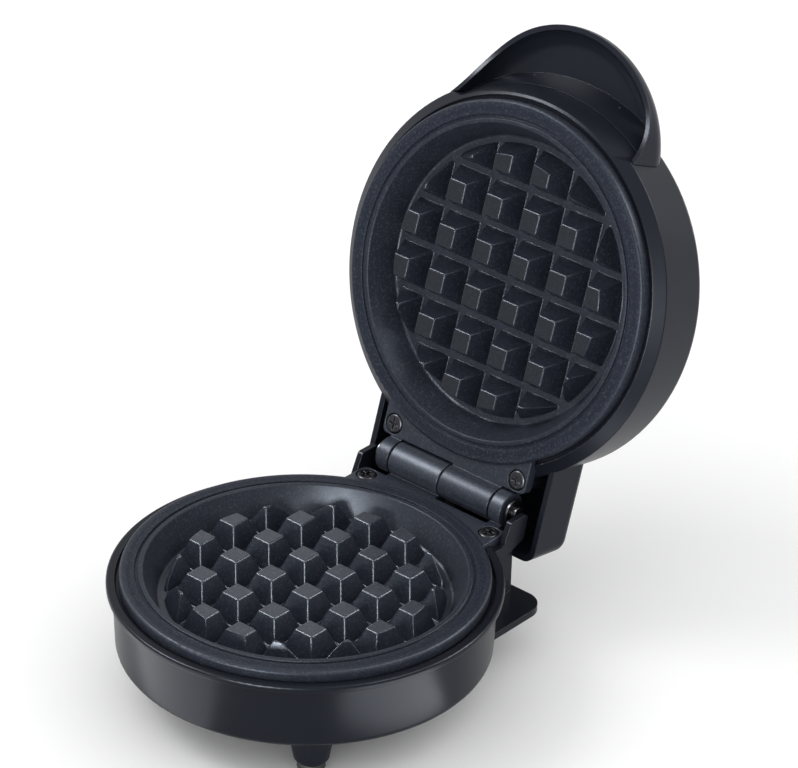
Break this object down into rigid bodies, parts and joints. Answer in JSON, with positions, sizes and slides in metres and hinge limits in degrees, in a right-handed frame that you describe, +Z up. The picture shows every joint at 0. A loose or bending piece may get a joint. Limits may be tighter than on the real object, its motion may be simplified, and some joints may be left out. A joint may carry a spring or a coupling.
{
  "type": "mini waffle maker",
  "caption": "Round hinged tabletop waffle maker, lid open, with studded cooking plates, a scoop handle and peg feet.",
  "frame": {"origin": "on the table, under the middle of the lower cooking plate", "axes": "+X along the hinge to the right as seen from the front, +Y to the rear where the hinge is, +Z up"},
  "size_m": [0.1246, 0.1933, 0.1806],
  "materials": {
    "black_plastic": "satin moulded black",
    "coated_cast_aluminium": "cast, with a black non-stick coating",
    "black_rubber": "matt",
    "bright_aluminium": "rolled sheet",
    "sheath_steel": "dull metal sheath",
    "plated_steel": "zinc plated",
    "dark_phenolic": "moulded phenolic",
    "white_nylon": "moulded nylon",
    "brass": "turned brass",
    "red_plastic": "clear red moulding",
    "lamp_glass": "clear glass",
    "wire_sleeve": "braided heatproof sleeve"
  },
  "bodies": {
    "base": {"base_housing": "black_plastic", "bottom_cover": "black_plastic", "bottom_cover_screws": "plated_steel", "rubber_foot_front_left": "black_rubber", "rubber_foot_front_right": "black_rubber", "rubber_foot_rear_left": "black_rubber", "rubber_foot_rear_right": "black_rubber", "lower_cooking_plate": "coated_cast_aluminium", "lower_plate_screws": "plated_steel", "lower_heating_element": "sheath_steel", "lower_element_clamps": "plated_steel", "lower_clamp_screws": "plated_steel", "lower_heat_shield": "bright_aluminium", "lower_shield_screws": "plated_steel", "thermostat": "dark_phenolic", "thermostat_strap": "plated_steel", "thermostat_strap_screws": "plated_steel", "terminal_block": "white_nylon", "terminal_screws": "brass", "cord_inlet_bushing": "black_rubber", "wire_supply_to_thermostat": "wire_sleeve", "wire_thermostat_to_element": "wire_sleeve", "wire_supply_to_element": "wire_sleeve", "hinge_pin": "plated_steel", "hinge_pin_clip": "plated_steel"},
    "lid": {"lid_shell": "black_plastic", "lid_handle": "black_plastic", "lid_handle_screws": "plated_steel", "upper_cooking_plate": "coated_cast_aluminium", "upper_plate_screws": "plated_steel", "upper_heating_element": "sheath_steel", "upper_element_clamps": "plated_steel", "upper_clamp_screws": "plated_steel", "upper_heat_shield": "bright_aluminium", "upper_shield_screws": "plated_steel", "thermal_fuse": "sheath_steel", "thermal_fuse_clip": "plated_steel", "thermal_fuse_clip_screw": "plated_steel", "ready_lamp_lens": "red_plastic", "ready_lamp": "lamp_glass", "wire_fuse_to_element": "wire_sleeve"}
  },
  "joints": [
    {"name": "lid_hinge", "type": "hinge", "parent": "base", "child": "lid", "pos_m": [0, 0.0669, 0.0429], "axis": [1, 0, 0], "range_deg": [0, 107]}
  ]
}
